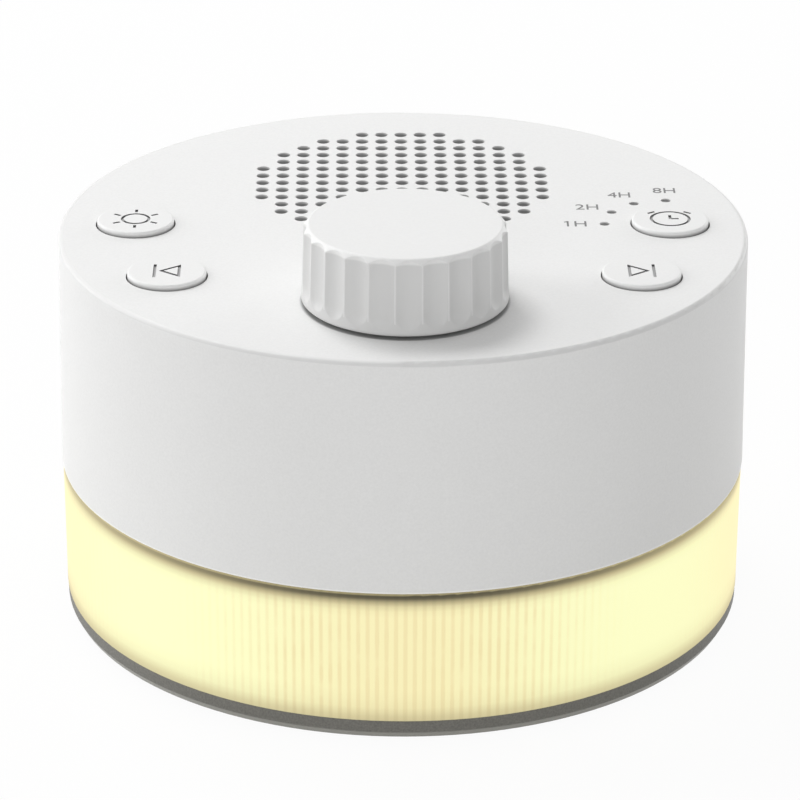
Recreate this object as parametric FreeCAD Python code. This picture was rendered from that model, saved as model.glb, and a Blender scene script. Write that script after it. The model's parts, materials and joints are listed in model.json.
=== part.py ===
import FreeCAD, Part
import math
import os

# A bedside white noise machine with a night light, standing on a table.
# Z is up, the table is at z = 0, and the axis of the round body is the Z axis.
# The volume knob is at the front, towards -Y. All sizes are in millimetres.

# Body, from the table up
foot_stand = 0.6
base_height = 2.9
lamp_height = 20.6
seam_gap = 0.3
housing_height = 36.1
body_radius = 52.5
housing_flare = 0.4
lamp_step = 0.15
lamp_taper = 0.15
base_step = 0.1

# Upper housing, one moulding open at the bottom
housing_wall = 2.3
deck_thickness = 2.2
deck_edge_round = 0.7
rebate_depth = 0.8
rebate_height = 1.2
boss_radius = 3.6
boss_inset = 5.8
boss_angles = (40, 140, 240, 300)
boss_web = 1.6
boss_hole_depth = 12.0
standoff_radius = 2.6

# Sound holes in the deck, on a square grid inside a circle
grille_inset = 33.0
grille_pitch = 3.12
grille_hole = 2.05
grille_reach = 7.4

# Volume knob
knob_inset = 23.5
knob_gap = 0.5
knob_height = 11.6
knob_bottom_radius = 15.2
knob_top_radius = 14.9
knob_chamfer = 0.8
knob_skirt = 2.1
knob_top_wall = 2.0
knob_hub_radius = 4.6
knob_web = 1.2
knob_web_count = 6
knob_web_height = 4.5
flute_count = 24
flute_cutter = 3.5
flute_depth = 0.46
flute_run_out = 2.9
flute_turn = 1.4

# Rotary encoder under the knob
encoder_width = 12.0
encoder_height = 6.5
encoder_wall = 1.0
bushing_radius = 3.5
bushing_length = 5.0
bushing_hole_clearance = 0.2
shaft_radius = 3.0
shaft_clearance = 0.04
shaft_length = 12.0
shaft_flat = 1.5
shaft_flat_length = 8.0
rotor_radius = 4.2
rotor_height = 1.2
press_travel = 0.4
plunger_height = 0.7
nut_across_flats = 10.0
nut_height = 2.0
washer_radius = 5.8
washer_thickness = 0.4

# Push buttons: light and timer at the sides, previous and next in front of them
button_radius = 5.88
button_clearance = 0.22
button_proud = 0.85
button_round = 0.35
button_flange = 7.2
button_flange_thickness = 1.3
button_travel = 0.4
side_button_inset = 11.6
side_button_angle = 2.4
front_button_inset = 12.2
front_button_angle = -29.1
guide_pin_radius = 0.8
guide_pin_offset = 7.0
guide_pin_length = 2.4
guide_clearance = 0.2
switch_width = 6.0
switch_height = 3.5
switch_plunger_radius = 1.75
switch_plunger_sink = 1.0

# Timer marks: four light pins on a quarter circle round the timer button
mark_circle = 10.0
mark_angles = (90, 120, 150, 180)
mark_radius = 0.72
mark_clearance = 0.05
mark_recess = 0.25
guide_strip_width = 2.4
guide_strip_thickness = 1.2
timer_led_size = 1.6
timer_led_height = 0.6

# Loudspeaker under the sound holes
speaker_radius = 25.0
speaker_clearance = 0.2
speaker_ring_wall = 1.4
screen_thickness = 0.3
gasket_thickness = 1.0
gasket_width = 2.2
basket_flange = 0.9
basket_depth = 9.5
basket_wall = 0.8
basket_windows = 4
magnet_radius = 14.0
magnet_height = 7.0
top_plate_height = 1.6
surround_width = 3.4
surround_rise = 0.9
cone_neck_radius = 6.2
cone_depth = 6.0
cone_wall = 0.5
speaker_screw_offset = 2.6
speaker_screw_angles = (45, 135, 225, 315)
speaker_washer_radius = 3.6

# Control board
board_thickness = 1.6
board_edge_gap = 3.4
board_back_step = 4.5
board_notch_clearance = 0.6
back_screw_x = 28.0
back_screw_y = -7.0
front_screw_inset = 4.0
front_screw_angle = -48.0
chip_size = 7.0
chip_height = 1.0
chip_x = -16.0
chip_y = -24.0
capacitor_radius = 2.5
capacitor_height = 5.4
capacitor_inset = 7.2
capacitor_pitch = 6.0
connector_width = 6.0
connector_length = 4.5
connector_height = 3.4

# Chassis plate between the sound chamber and the lamp
chassis_rise = 0.5
chassis_thickness = 2.2
chassis_clearance = 0.25
skirt_height = 2.5
skirt_thickness = 1.4
post_gap = 1.4
post_angles = (60, 120, 240, 300)
post_radius = 3.6
post_height_over_floor = 4.0
lead_hole_radius = 3.0
lamp_lead_y = 21.0
battery_lead_x = 20.0
battery_lead_y = -22.0
socket_post_radius = 2.3
led_post_radius = 2.2
led_post_height = 2.5

# Charging socket at the back
socket_width = 9.0
socket_height = 3.2
socket_depth = 7.3
socket_wall = 0.3
socket_sink = 0.6
socket_clearance = 0.25
tongue_width = 6.7
tongue_height = 0.7
tongue_length = 4.5
socket_board_width = 18.0
socket_board_length = 13.0
socket_board_thickness = 1.2
socket_board_stand = 0.8
socket_board_edge = 1.8
socket_screw_x = 6.2
socket_screw_back = 9.6

# Lamp
lamp_wall = 2.4
lip_clearance = 0.2
lamp_edge_round = 0.4
led_board_gap = 1.1
led_board_width = 11.0
led_board_thickness = 1.0
led_count = 12
led_inset = 4.0
led_size = 5.0
led_height = 1.6
led_well_depth = 0.3
led_screw_angles = (15, 135, 255)
led_screw_inset = 2.2
led_screw_head = 0.9
reflector_wall = 1.2
reflector_led_gap = 3.1
reflector_gap = 0.5
reflector_foot_gap = 0.5
reflector_flange = 4.0
rib_count = 240
rib_depth = 0.6
diffuser_wall = 1.4
diffuser_clearance = 0.15

# Base
base_floor = 2.2
base_rim_height = 1.5
base_post_wall = 0.8
base_post_floor = 1.6
base_chamfer_height = 1.0
base_chamfer_inset = 0.55
foot_radius = 5.0
foot_height = 1.0
foot_chamfer = 0.25
foot_inset = 10.5
foot_angles = (45, 135, 225, 315)
foot_clearance = 0.2

# Battery
battery_length = 50.0
battery_post_gap = 1.25
battery_height = 9.0
battery_round = 2.0
battery_pad_height = 1.0
battery_pad_inset = 4.0

# Screws: a big one for the housing and base, a small one for boards and speaker
big_shank = 1.3
big_head_radius = 2.7
big_head_height = 1.9
big_length = 9.0
small_shank = 0.9
small_head_radius = 1.9
small_head_height = 1.3
small_length = 5.0
screw_clearance = 0.05
through_clearance = 0.35
head_clearance = 0.4

# Heights that follow from the sizes above
base_bottom = foot_stand
lamp_bottom = base_bottom + base_height
lamp_top = lamp_bottom + lamp_height
housing_bottom = lamp_top + seam_gap
deck = housing_bottom + housing_height
deck_under = deck - deck_thickness
lip_top = housing_bottom + rebate_height
chassis_bottom = housing_bottom + chassis_rise
chassis_top = chassis_bottom + chassis_thickness
skirt_bottom = chassis_bottom - skirt_height
floor_top = base_bottom + base_floor
rim_top = lamp_bottom + base_rim_height
post_bottom = floor_top + post_height_over_floor
led_board_bottom = chassis_bottom - led_board_thickness

# The encoder's case ends just under the deck, which sets the height of the control board
encoder_deck_gap = 0.4
encoder_top = deck_under - encoder_deck_gap
board_top = encoder_top - encoder_height
board_bottom = board_top - board_thickness
knob_bottom = deck + knob_gap
knob_top = knob_bottom + knob_height
shaft_top = encoder_top + shaft_length
screen_bottom = deck_under - screen_thickness
gasket_bottom = screen_bottom - gasket_thickness
flange_bottom = gasket_bottom - basket_flange
basket_bottom = flange_bottom - basket_depth
magnet_bottom = basket_bottom - magnet_height
switch_top = board_top + switch_height
flange_under = deck_under - button_flange_thickness
stem_bottom = flange_under - 0.4
socket_board_bottom = chassis_top + socket_board_stand
socket_board_top = socket_board_bottom + socket_board_thickness
socket_middle = socket_board_top + socket_height / 2

# Radii that follow from the sizes above
housing_foot_radius = body_radius + housing_flare
housing_inner_radius = housing_foot_radius - housing_wall
lamp_top_radius = housing_foot_radius - lamp_step
lamp_bottom_radius = lamp_top_radius - lamp_taper
lamp_inner_radius = lamp_top_radius - lamp_wall
lip_radius = housing_inner_radius + rebate_depth - lip_clearance
base_radius = lamp_bottom_radius - base_step
chassis_radius = lamp_inner_radius - chassis_clearance
rim_inner_radius = chassis_radius - skirt_thickness
diffuser_outer_radius = lamp_inner_radius - diffuser_clearance
diffuser_inner_radius = diffuser_outer_radius - diffuser_wall
reflector_foot_radius = rim_inner_radius - reflector_foot_gap
boss_circle = housing_inner_radius - boss_inset
grille_y = body_radius - grille_inset
knob_y = knob_inset - body_radius
board_radius = housing_inner_radius - board_edge_gap
foot_circle = base_radius - foot_inset
led_board_outer = boss_circle - big_head_radius - led_board_gap
led_board_inner = led_board_outer - led_board_width
led_circle = led_board_outer - led_inset
post_circle = led_board_inner - post_radius - post_gap
battery_width = 2 * (post_circle * math.sin(math.radians(post_angles[0])) - post_radius - base_post_wall
                     - battery_post_gap)
led_screw_circle = led_board_inner + led_screw_inset
reflector_top_radius = led_circle - led_size / 2 - reflector_led_gap
speaker_ring_inner = speaker_radius + speaker_clearance
speaker_ring_outer = speaker_ring_inner + speaker_ring_wall
speaker_screw_circle = speaker_radius + speaker_screw_offset
board_cutout_radius = speaker_screw_circle + speaker_washer_radius + board_notch_clearance
socket_mouth_y = housing_foot_radius - socket_sink
socket_board_front = housing_inner_radius - socket_board_edge



def point(x, y, z):
    return FreeCAD.Vector(x, y, z)


def polar(radius, angle, z=0.0, x=0.0, y=0.0):
    turn = math.radians(angle)
    return point(x + radius * math.cos(turn), y + radius * math.sin(turn), z)


def place_on(radius, angle):
    spot = polar(radius, angle)
    return spot.x, spot.y


buttons = {
    "light": place_on(body_radius - side_button_inset, 180 - side_button_angle),
    "previous": place_on(body_radius - front_button_inset, 180 - front_button_angle),
    "next": place_on(body_radius - front_button_inset, front_button_angle),
    "timer": place_on(body_radius - side_button_inset, side_button_angle),
}
timer_x, timer_y = buttons["timer"]
board_screw_places = (
    (back_screw_x, back_screw_y),
    place_on(board_radius - front_screw_inset, front_screw_angle),
)
lead_holes = ((0.0, lamp_lead_y), (battery_lead_x, battery_lead_y))


def cylinder(radius, bottom, top, x=0.0, y=0.0):
    return Part.makeCylinder(radius, top - bottom, point(x, y, bottom))


def ring(outer, inner, bottom, top, x=0.0, y=0.0):
    return cylinder(outer, bottom, top, x, y).cut(cylinder(inner, bottom, top, x, y))


def block(width, length, bottom, top, x=0.0, y=0.0):
    return Part.makeBox(width, length, top - bottom, point(x - width / 2, y - length / 2, bottom))


def turned(outline):
    """A solid of revolution about Z. Each entry of the outline is (radius, z), or
    (radius, z, through_radius, through_z) for an arc that comes to that point by way of another."""
    places = [point(entry[0], 0, entry[1]) for entry in outline]
    edges = []
    for start, entry in zip(places, outline[1:] + outline[:1]):
        end = point(entry[0], 0, entry[1])
        if start.isEqual(end, 1e-7):
            continue
        if len(entry) == 4:
            edges.append(Part.Arc(start, point(entry[2], 0, entry[3]), end).toShape())
        else:
            edges.append(Part.LineSegment(start, end).toShape())
    face = Part.Face(Part.Wire(edges))
    return face.revolve(point(0, 0, 0), point(0, 0, 1), 360)


def quarter(corner_radius):
    """How far an arc's middle point lies inside a square corner, along each side."""
    return corner_radius * (1 - math.sqrt(0.5))


def moved(shape, x=0.0, y=0.0, z=0.0):
    copy = shape.copy()
    copy.translate(point(x, y, z))
    return copy


def mirrored_places(places):
    return [(side * x, y) for x, y in places for side in (-1, 1)]


def screw(shank, length, head_radius, head_height, upwards=True, washer=0.0):
    """A screw whose head rests on z = 0 and whose shank points up, or down."""
    body = cylinder(shank, 0, length).fuse(cylinder(head_radius, -head_height, 0))
    slot = block(head_radius * 1.1, 0.5, -head_height, -head_height * 0.5)
    body = body.cut(slot).cut(slot.rotated(point(0, 0, 0), point(0, 0, 1), 90))
    if washer:
        body = body.fuse(cylinder(washer, -head_height * 0.45, 0))
    body = body.removeSplitter()
    return body if upwards else body.rotated(point(0, 0, 0), point(1, 0, 0), 180)


def grille_places():
    """Hole centres of the square grid that lie inside the grille's circle."""
    reach = int(grille_reach)
    steps = range(-reach, reach + 1)
    return [
        (column * grille_pitch, grille_y + row * grille_pitch)
        for row in steps
        for column in steps
        if row * row + column * column <= grille_reach * grille_reach
    ]


def make_upper_housing():
    inside = quarter(deck_edge_round)
    shell = turned([
        (0, deck),
        (body_radius - deck_edge_round, deck),
        (body_radius, deck - deck_edge_round, body_radius - inside, deck - inside),
        (housing_foot_radius, housing_bottom),
        (housing_inner_radius + rebate_depth, housing_bottom),
        (housing_inner_radius + rebate_depth, lip_top),
        (housing_inner_radius, lip_top),
        (housing_inner_radius, deck_under),
        (0, deck_under),
    ])
    added, holes = [], []

    # Posts for the chassis screws, each tied to the wall by a web
    web_length = housing_inner_radius - boss_circle + 0.5
    for angle in boss_angles:
        centre = polar(boss_circle, angle)
        added.append(cylinder(boss_radius, chassis_top, deck_under, centre.x, centre.y))
        web = block(web_length, boss_web, chassis_top, deck_under, boss_circle + web_length / 2)
        added.append(web.rotated(point(0, 0, 0), point(0, 0, 1), angle))
        holes.append(cylinder(big_shank + screw_clearance, chassis_top, chassis_top + boss_hole_depth,
                              centre.x, centre.y))

    # Posts for the control board
    for x, y in mirrored_places(board_screw_places):
        added.append(cylinder(standoff_radius, board_top, deck_under, x, y))
        holes.append(cylinder(small_shank + screw_clearance, board_top, deck_under, x, y))

    # A collar and four short posts for the loudspeaker
    added.append(ring(speaker_ring_outer, speaker_ring_inner, flange_bottom, deck_under, 0, grille_y))
    for angle in speaker_screw_angles:
        centre = polar(speaker_screw_circle, angle, y=grille_y)
        post = cylinder(standoff_radius, flange_bottom, deck_under, centre.x, centre.y)
        added.append(post.cut(cylinder(speaker_ring_inner, flange_bottom, deck_under, 0, grille_y)))
        holes.append(cylinder(small_shank + screw_clearance, flange_bottom, deck_under, centre.x, centre.y))

    # Button holes, each with two pins that keep the button from turning
    for x, y in buttons.values():
        holes.append(cylinder(button_radius + button_clearance, deck_under - 1, deck + 1, x, y))
        for side in (-1, 1):
            added.append(cylinder(guide_pin_radius, deck_under - guide_pin_length, deck_under,
                                  x, y + side * guide_pin_offset))

    for angle in mark_angles:
        centre = polar(mark_circle, angle, x=timer_x, y=timer_y)
        holes.append(cylinder(mark_radius + mark_clearance, deck_under - 1, deck + 1, centre.x, centre.y))
    holes.append(cylinder(bushing_radius + bushing_hole_clearance, deck_under - 1, deck + 1, 0, knob_y))
    holes.append(socket_outline(socket_clearance, housing_inner_radius - 2 * housing_wall,
                                housing_foot_radius + housing_wall))

    for x, y in grille_places():
        holes.append(cylinder(grille_hole / 2, deck_under - 1, deck + 1, x, y))
    return shell.fuse(added).cut(holes).removeSplitter()


def socket_outline(margin, back, front):
    """The round-ended shape of the charging socket, grown by a margin, between two places along Y."""
    half = socket_height / 2 + margin
    reach = socket_width / 2 + margin - half
    middle = block(2 * reach, front - back, socket_middle - half, socket_middle + half, 0, (front + back) / 2)
    ends = [
        Part.makeCylinder(half, front - back, point(side * reach, back, socket_middle), point(0, 1, 0))
        for side in (-1, 1)
    ]
    return middle.fuse(ends).removeSplitter()


def make_dust_screen():
    return cylinder(speaker_radius, screen_bottom, deck_under, 0, grille_y)


def make_speaker_gasket():
    return ring(speaker_radius, speaker_radius - gasket_width, gasket_bottom, screen_bottom, 0, grille_y)


def make_speaker_basket():
    mouth = speaker_radius - gasket_width
    bowl = turned([
        (speaker_radius, gasket_bottom),
        (mouth, gasket_bottom),
        (mouth, flange_bottom),
        (magnet_radius - basket_wall, basket_bottom + basket_wall),
        (cone_neck_radius + 1.6, basket_bottom + basket_wall),
        (cone_neck_radius + 1.6, basket_bottom),
        (magnet_radius, basket_bottom),
        (mouth + basket_wall, flange_bottom),
        (speaker_radius, flange_bottom),
    ])
    low = basket_bottom + basket_depth * 0.2
    high = flange_bottom - basket_depth * 0.2
    window = block(speaker_radius, magnet_radius * 0.9, low, high, speaker_radius * 0.66)
    cuts = [
        window.rotated(point(0, 0, 0), point(0, 0, 1), (side + 0.5) * 360 / basket_windows)
        for side in range(basket_windows)
    ]
    return moved(bowl.cut(cuts), 0, grille_y)


def cone_rim():
    return speaker_radius - gasket_width - surround_width


def make_speaker_surround():
    """The half-roll of rubber between the cone and the basket."""
    outer = speaker_radius - gasket_width
    inner = cone_rim()
    middle = (outer + inner) / 2
    low = flange_bottom + 0.2
    roll = turned([
        (inner, low),
        (inner, low + cone_wall),
        (outer, low + cone_wall, middle, low + cone_wall + surround_rise),
        (outer, low),
        (inner, low, middle, low + surround_rise),
    ])
    return moved(roll, 0, grille_y)


def make_speaker_cone():
    top = flange_bottom + 0.2 + cone_wall
    rim = cone_rim()
    cone = turned([
        (rim, top),
        (rim, top - cone_wall),
        (cone_neck_radius, top - cone_wall - cone_depth),
        (cone_neck_radius - cone_wall, top - cone_wall - cone_depth),
        (cone_neck_radius - cone_wall, top - cone_depth),
        (rim - 2 * cone_wall, top),
    ])
    coil = ring(cone_neck_radius, cone_neck_radius - cone_wall, basket_bottom - 1.0,
                top - cone_wall - cone_depth)
    return moved(cone.fuse(coil).removeSplitter(), 0, grille_y)


def make_speaker_dust_cap():
    base = flange_bottom + 0.2 + cone_wall - cone_depth
    radius = cone_neck_radius - cone_wall
    rise = 1.8
    dome = turned([
        (0, base + rise),
        (radius, base, radius * 0.72, base + rise * 0.52),
        (radius, base - 0.4),
        (0, base - 0.4),
    ])
    return moved(dome, 0, grille_y)


def make_speaker_magnet():
    """Ring magnet with its top plate, back plate and pole, leaving a gap for the voice coil."""
    pole = cone_neck_radius - cone_wall - 0.4
    gap = cone_neck_radius + 0.4
    plates = turned([
        (0, basket_bottom),
        (pole, basket_bottom),
        (pole, magnet_bottom + top_plate_height),
        (gap + 1.5, magnet_bottom + top_plate_height),
        (gap + 1.5, basket_bottom - top_plate_height),
        (gap, basket_bottom - top_plate_height),
        (gap, basket_bottom),
        (magnet_radius - 1.0, basket_bottom),
        (magnet_radius - 1.0, basket_bottom - top_plate_height),
        (magnet_radius, basket_bottom - top_plate_height),
        (magnet_radius, magnet_bottom + top_plate_height),
        (magnet_radius - 1.0, magnet_bottom + top_plate_height),
        (magnet_radius - 1.0, magnet_bottom),
        (0, magnet_bottom),
    ])
    return moved(plates, 0, grille_y)


def make_speaker_screws():
    one = screw(small_shank, gasket_thickness + screen_thickness + basket_flange - 0.2, small_head_radius,
                small_head_height, washer=speaker_washer_radius)
    places = [polar(speaker_screw_circle, angle, flange_bottom, y=grille_y) for angle in speaker_screw_angles]
    return Part.makeCompound([moved(one, p.x, p.y, p.z) for p in places])


def make_control_board():
    board = cylinder(board_radius, board_bottom, board_top)
    board = board.cut(block(3 * board_radius, board_radius, board_bottom - 1, board_top + 1,
                            0, grille_y - board_back_step + board_radius / 2))
    cuts = [cylinder(board_cutout_radius, board_bottom - 1, board_top + 1, 0, grille_y)]
    for angle in boss_angles:
        centre = polar(boss_circle, angle)
        cuts.append(cylinder(boss_radius + board_notch_clearance, board_bottom - 1, board_top + 1,
                             centre.x, centre.y))
        web = block(2 * boss_inset, boss_web + 2 * board_notch_clearance, board_bottom - 1, board_top + 1,
                    boss_circle + boss_inset)
        cuts.append(web.rotated(point(0, 0, 0), point(0, 0, 1), angle))
    for x, y in mirrored_places(board_screw_places):
        cuts.append(cylinder(small_shank + through_clearance, board_bottom - 1, board_top + 1, x, y))
    return board.cut(cuts)


def make_board_screws():
    one = screw(small_shank, small_length, small_head_radius, small_head_height)
    places = mirrored_places(board_screw_places)
    return Part.makeCompound([moved(one, x, y, board_bottom) for x, y in places])


def make_board_components():
    """Controller, amplifier, two capacitors and two lead connectors, under the board."""
    parts = [
        block(chip_size, chip_size, board_bottom - chip_height, board_bottom, chip_x, chip_y),
        block(chip_size * 0.7, chip_size * 0.6, board_bottom - chip_height, board_bottom,
              chip_x - 2 * chip_size, chip_y + chip_size),
    ]
    for x in (-capacitor_pitch, 0):
        parts.append(cylinder(capacitor_radius, board_bottom - capacitor_height, board_bottom,
                              x, capacitor_inset - board_radius))
    for x in (-battery_lead_x / 2, battery_lead_x):
        parts.append(block(connector_width, connector_length, board_bottom - connector_height, board_bottom,
                           x, battery_lead_y))
    return Part.makeCompound(parts)


def make_encoder_case():
    """The encoder's square case, hollow for the rotor and the push plunger."""
    half = encoder_width / 2
    case = block(encoder_width, encoder_width, board_top, encoder_top, 0, knob_y)
    hollow = cylinder(rotor_radius + 0.3, board_top + encoder_wall - 0.2, encoder_top - encoder_wall,
                      0, knob_y)
    neck = cylinder(shaft_radius + 0.3, encoder_top - encoder_wall - 1, encoder_top + 1, 0, knob_y)
    tabs = [
        block(1.2, 3.0, board_top, board_top + encoder_height * 0.6, side * (half + 0.6), knob_y)
        for side in (-1, 1)
    ]
    return case.fuse(tabs).cut([hollow, neck]).removeSplitter()


def make_encoder_bushing():
    return ring(bushing_radius, shaft_radius + shaft_clearance, encoder_top, encoder_top + bushing_length,
                0, knob_y)


def shaft_flat_cut(clearance=0.0):
    """What the flat takes off the shaft, as a block at the shaft's own axis."""
    depth = shaft_radius - shaft_flat - clearance
    cut = block(4 * shaft_radius, shaft_radius * 2, shaft_top - shaft_flat_length, shaft_top + 1,
                0, shaft_radius - depth + shaft_radius)
    return cut


def make_encoder_shaft():
    rotor_top = encoder_top - encoder_wall - 0.2
    shaft_bottom = rotor_top - rotor_height - 0.8
    shaft = cylinder(shaft_radius, shaft_bottom, shaft_top)
    shaft = shaft.fuse(cylinder(rotor_radius, rotor_top - rotor_height, rotor_top))
    shaft = shaft.cut(shaft_flat_cut())
    return moved(shaft.removeSplitter(), 0, knob_y)


def make_encoder_plunger():
    rotor_top = encoder_top - encoder_wall - 0.2
    top = rotor_top - rotor_height - 0.8
    return cylinder(shaft_radius * 0.8, top - plunger_height, top, 0, knob_y)


def make_encoder_washer():
    return ring(washer_radius, bushing_radius + shaft_clearance, deck, deck + washer_thickness, 0, knob_y)


def make_encoder_nut():
    bottom = deck + washer_thickness
    corner = nut_across_flats / math.sqrt(3)
    corners = [polar(corner, 60 * step + 30, bottom, y=knob_y) for step in range(6)]
    nut = Part.Face(Part.makePolygon(corners + corners[:1])).extrude(point(0, 0, nut_height))
    return nut.cut(cylinder(bushing_radius + shaft_clearance, bottom - 1, bottom + nut_height + 1, 0, knob_y))


def flute_cutter_shape():
    """One ball-ended cutter beside the knob, leaning with the knob's taper."""
    lean = math.degrees(math.atan2(knob_bottom_radius - knob_top_radius, knob_height - knob_chamfer))
    start = knob_bottom + flute_run_out
    share = flute_run_out / (knob_height - knob_chamfer)
    wall_radius = knob_bottom_radius + (knob_top_radius - knob_bottom_radius) * share
    centre = point(wall_radius + flute_cutter - flute_depth, 0, start)
    length = knob_height
    cutter = Part.makeCylinder(flute_cutter, length, centre)
    cutter = cutter.fuse(Part.makeSphere(flute_cutter, centre)).removeSplitter()
    return cutter.rotated(centre, point(0, 1, 0), -lean)


def make_volume_knob():
    edge = 0.3
    inner = knob_bottom_radius - knob_skirt
    top_face = knob_top_radius - knob_chamfer
    ceiling = knob_top - knob_top_wall
    skin = turned([
        (0, knob_top),
        (top_face, knob_top),
        (knob_top_radius, knob_top - knob_chamfer),
        (knob_bottom_radius, knob_bottom + edge),
        (knob_bottom_radius - edge, knob_bottom),
        (inner, knob_bottom),
        (inner, ceiling),
        (0, ceiling),
    ])
    cutter = flute_cutter_shape()
    flutes = [
        cutter.rotated(point(0, 0, 0), point(0, 0, 1), -90 + flute_turn + step * 360 / flute_count)
        for step in range(flute_count)
    ]
    skin = skin.cut(flutes)

    # The hub and its webs, over the nut
    hub_bottom = deck + washer_thickness + nut_height + press_travel + 0.3
    hub = cylinder(knob_hub_radius, hub_bottom, ceiling)
    web = block(inner + 0.5, knob_web, ceiling - knob_web_height, ceiling, (inner + 0.5) / 2)
    webs = [
        web.rotated(point(0, 0, 0), point(0, 0, 1), step * 360 / knob_web_count)
        for step in range(knob_web_count)
    ]
    bore_top = shaft_top + 0.3
    bore = cylinder(shaft_radius + shaft_clearance / 2, hub_bottom - 1, bore_top)
    flat = block(4 * shaft_radius, 2 * shaft_radius, shaft_top - shaft_flat_length + 0.2, bore_top,
                 0, shaft_flat + shaft_clearance / 2 + shaft_radius)
    knob = skin.fuse([hub] + webs).cut(bore.cut(flat))
    return moved(knob.removeSplitter(), 0, knob_y)


def make_button(x, y):
    """A round cap with a flange that stops it under the deck and a stem for its switch."""
    top = deck + button_proud
    inside = quarter(button_round)
    cap = turned([
        (0, top),
        (button_radius - button_round, top),
        (button_radius, top - button_round, button_radius - inside, top - inside),
        (button_radius, deck_under),
        (button_flange, deck_under),
        (button_flange, flange_under),
        (switch_plunger_radius + 0.6, flange_under),
        (switch_plunger_radius + 0.6, stem_bottom),
        (0, stem_bottom),
    ])
    notches = [
        cylinder(guide_pin_radius + guide_clearance, flange_under - 1, deck_under + 0.001,
                 0, side * guide_pin_offset)
        for side in (-1, 1)
    ]
    return moved(cap.cut(notches), x, y)


def make_switch_plunger(x, y):
    return cylinder(switch_plunger_radius, switch_top - switch_plunger_sink, stem_bottom, x, y)


def make_tact_switches():
    switch = block(switch_width, switch_width, board_top, switch_top)
    well = cylinder(switch_plunger_radius + shaft_clearance,
                    switch_top - switch_plunger_sink - button_travel - 0.1, switch_top + 1)
    switch = switch.cut(well)
    return Part.makeCompound([moved(switch, x, y) for x, y in buttons.values()])


def make_timer_light_guide():
    """Four clear pins in the timer marks, joined by an arc-shaped strip under the deck."""
    strip_bottom = deck_under - guide_strip_thickness
    strip = ring(mark_circle + guide_strip_width / 2, mark_circle - guide_strip_width / 2,
                 strip_bottom, deck_under)
    size = 4 * mark_circle
    quarter_block = Part.makeBox(size, size, size, point(-size, 0, strip_bottom - size / 2))
    parts = [strip.common(quarter_block)]
    pin_bottom = board_top + timer_led_height + 0.3
    for angle in mark_angles:
        centre = polar(mark_circle, angle)
        parts.append(cylinder(mark_radius, pin_bottom, deck - mark_recess, centre.x, centre.y))
        parts.append(cylinder(guide_strip_width / 2, strip_bottom, deck_under, centre.x, centre.y))
    guide = parts[0].fuse(parts[1:]).removeSplitter()
    return moved(guide, timer_x, timer_y)


def make_timer_leds():
    chips = []
    for angle in mark_angles:
        centre = polar(mark_circle, angle, x=timer_x, y=timer_y)
        chips.append(block(timer_led_size, timer_led_size, board_top, board_top + timer_led_height,
                           centre.x, centre.y))
    return Part.makeCompound(chips)


def make_chassis_plate():
    plate = cylinder(chassis_radius, chassis_bottom, chassis_top)
    skirt = ring(chassis_radius, rim_inner_radius, skirt_bottom, chassis_bottom)
    added, cuts = [skirt], []
    for angle in post_angles:
        centre = polar(post_circle, angle)
        added.append(cylinder(post_radius, post_bottom, chassis_bottom, centre.x, centre.y))
        cuts.append(cylinder(big_shank + screw_clearance, post_bottom, post_bottom + big_length,
                             centre.x, centre.y))
    for angle in boss_angles:
        centre = polar(boss_circle, angle)
        cuts.append(cylinder(big_shank + through_clearance, chassis_bottom - 1, chassis_top + 1,
                             centre.x, centre.y))
    for angle in led_screw_angles:
        centre = polar(led_screw_circle, angle)
        added.append(cylinder(led_post_radius, chassis_top, chassis_top + led_post_height,
                              centre.x, centre.y))
        cuts.append(cylinder(small_shank + screw_clearance, chassis_bottom, chassis_top + led_post_height,
                             centre.x, centre.y))
    for x in (-socket_screw_x, socket_screw_x):
        y = socket_board_front - socket_screw_back
        added.append(cylinder(socket_post_radius, chassis_top, socket_board_bottom, x, y))
        cuts.append(cylinder(small_shank + screw_clearance, chassis_bottom - 1, socket_board_bottom, x, y))
    for x, y in lead_holes:
        cuts.append(cylinder(lead_hole_radius, chassis_bottom - 1, chassis_top + 1, x, y))
    return plate.fuse(added).cut(cuts).removeSplitter()


def make_chassis_screws():
    one = screw(big_shank, big_length, big_head_radius, big_head_height)
    places = [polar(boss_circle, angle, chassis_bottom) for angle in boss_angles]
    return Part.makeCompound([moved(one, p.x, p.y, p.z) for p in places])


def make_socket_board():
    board = block(socket_board_width, socket_board_length, socket_board_bottom, socket_board_top,
                  0, socket_board_front - socket_board_length / 2)
    y = socket_board_front - socket_screw_back
    holes = [
        cylinder(small_shank + through_clearance, socket_board_bottom - 1, socket_board_top + 1, side, y)
        for side in (-socket_screw_x, socket_screw_x)
    ]
    return board.cut(holes)


def make_socket_board_screws():
    one = screw(small_shank, small_length - 1.5, small_head_radius, small_head_height, upwards=False)
    y = socket_board_front - socket_screw_back
    return Part.makeCompound([moved(one, side * socket_screw_x, y, socket_board_top) for side in (-1, 1)])


def make_charging_socket():
    """The drawn metal shell of the socket, open towards the back of the body."""
    back = socket_mouth_y - socket_depth
    shell = socket_outline(0, back, socket_mouth_y)
    return shell.cut(socket_outline(-socket_wall, back + socket_wall, socket_mouth_y + 1))


def make_socket_tongue():
    back = socket_mouth_y - socket_depth + socket_wall
    return block(tongue_width, tongue_length, socket_middle - tongue_height / 2,
                 socket_middle + tongue_height / 2, 0, back + tongue_length / 2)


def make_led_board():
    board = ring(led_board_outer, led_board_inner, led_board_bottom, chassis_bottom)
    holes = []
    for angle in led_screw_angles:
        centre = polar(led_screw_circle, angle)
        holes.append(cylinder(small_shank + through_clearance, led_board_bottom - 1, chassis_bottom + 1,
                              centre.x, centre.y))
    return board.cut(holes)


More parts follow.
